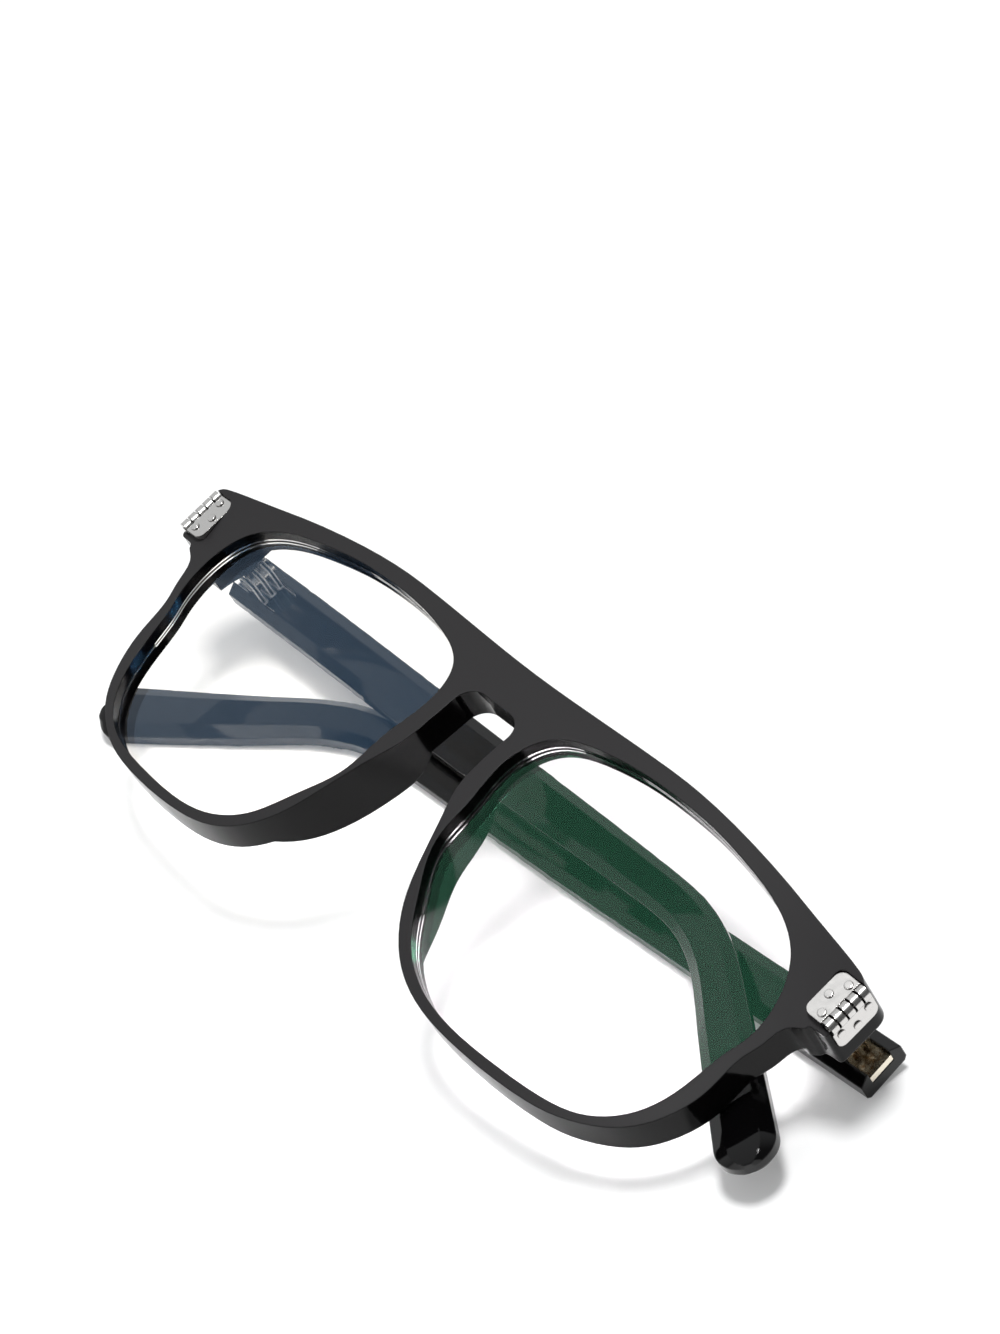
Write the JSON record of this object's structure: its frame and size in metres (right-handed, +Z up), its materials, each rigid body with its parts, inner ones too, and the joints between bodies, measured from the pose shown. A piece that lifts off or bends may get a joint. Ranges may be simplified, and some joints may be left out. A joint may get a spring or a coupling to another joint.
{
  "type": "square eyeglasses",
  "caption": "Square plastic eyeglasses with clear lenses, corner ornaments and temples that fold flat behind the front on screwed hinges.",
  "frame": {"origin": "centre of the underside of the box round the folded glasses, on the surface they lie on", "axes": "+X across the front to the viewer's right, +Y up the front along that surface, +Z up from it"},
  "size_m": [0.1468, 0.0466, 0.0307],
  "materials": {
    "acetate": "polished black plastic, satin on the front face",
    "lens": "clear, with an antireflective look",
    "silver": "polished silver-coloured metal",
    "steel": "plain hinge metal"
  },
  "bodies": {
    "front": {"front_frame": "acetate", "lens_left": "lens", "lens_right": "lens", "plaque_front_leaf_left": "silver", "plaque_front_leaf_right": "silver", "plaque_side_leaf_left": "silver", "plaque_side_leaf_right": "silver", "plaque_pin_left": "silver", "plaque_pin_right": "silver", "plaque_rivets_left": "silver", "plaque_rivets_right": "silver", "front_hinge_leaf_left": "steel", "front_hinge_leaf_right": "steel", "hinge_screw_left": "steel", "hinge_screw_right": "steel", "front_hinge_rivets_left": "steel", "front_hinge_rivets_right": "steel"},
    "left_temple": {"temple_left": "acetate", "core_wire_left": "steel", "temple_hinge_leaf_left": "steel"},
    "right_temple": {"temple_right": "acetate", "core_wire_right": "steel", "temple_hinge_leaf_right": "steel"}
  },
  "joints": [
    {"name": "left_temple_hinge", "type": "hinge", "parent": "front", "child": "left_temple", "pos_m": [-0.06583, 0.01608, 0.01299], "axis": [0.0109, 0.9707, 0.24], "range_deg": [0, 90]},
    {"name": "right_temple_hinge", "type": "hinge", "parent": "front", "child": "right_temple", "pos_m": [0.06504, 0.01608, 0.00705], "axis": [0.0431, -0.9693, -0.2421], "range_deg": [0, 86.2]}
  ]
}
